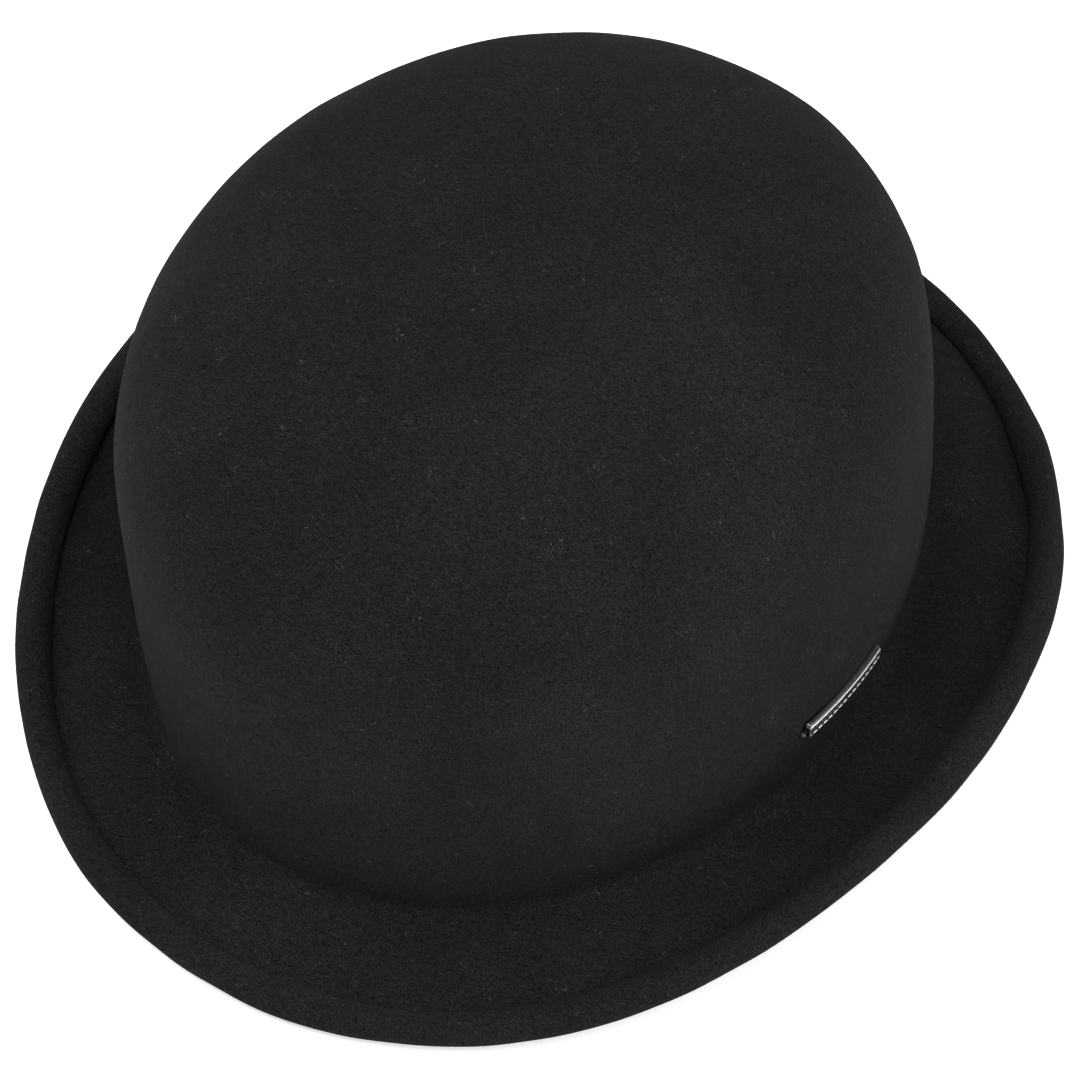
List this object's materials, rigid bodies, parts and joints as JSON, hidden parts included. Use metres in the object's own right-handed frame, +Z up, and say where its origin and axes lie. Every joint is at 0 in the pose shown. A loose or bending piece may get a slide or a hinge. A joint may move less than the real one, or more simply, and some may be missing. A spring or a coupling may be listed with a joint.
{
  "type": "bowler hat",
  "caption": "Round-crowned stiff felt hat with a curled brim, rolled edge, lined crown, leather sweatband and a small side badge.",
  "frame": {"origin": "on the surface the hat stands on, under the middle of the brim", "axes": "+Z up through the crown; the front of the hat faces -Y; the wearer's left is +X"},
  "size_m": [0.2382, 0.2722, 0.1339],
  "materials": {
    "felt": "matt black blocked wool felt with a fine nap",
    "wire_steel": "drawn steel",
    "sweatband_leather": "black-brown grained leather, satin",
    "tab_leather": "black-brown leather",
    "reed_plastic": "natural plastic cord",
    "tape_cloth": "black woven cotton tape",
    "thread": "dark grey polyester thread",
    "ribbon": "black ribbed ribbon, silky",
    "lining_satin": "silver-grey satin",
    "piping_satin": "dark grey satin over a cord",
    "label_cloth": "off-white woven label, blank",
    "badge_metal": "dark old-silver plate, polished on its edge",
    "badge_enamel": "black enamel",
    "prong_brass": "nickel-brass strip",
    "keeper_steel": "sheet steel"
  },
  "bodies": {
    "root": {"felt_body": "felt", "brim_wire": "wire_steel", "brim_wire_joiner": "wire_steel", "sweatband": "sweatband_leather", "sweatband_reed": "reed_plastic", "reed_tape": "tape_cloth", "sweatband_stitches": "thread", "sweatband_tab": "tab_leather", "tab_stitches": "thread", "bow_loop_left": "ribbon", "bow_loop_right": "ribbon", "bow_knot": "ribbon", "bow_tails": "ribbon", "lining_side": "lining_satin", "lining_tip": "lining_satin", "lining_piping": "piping_satin", "size_label": "label_cloth", "care_label": "label_cloth", "badge_plate": "badge_metal", "badge_inlay": "badge_enamel", "badge_relief": "badge_metal", "badge_prongs": "prong_brass", "badge_keeper": "keeper_steel"}
  },
  "joints": []
}
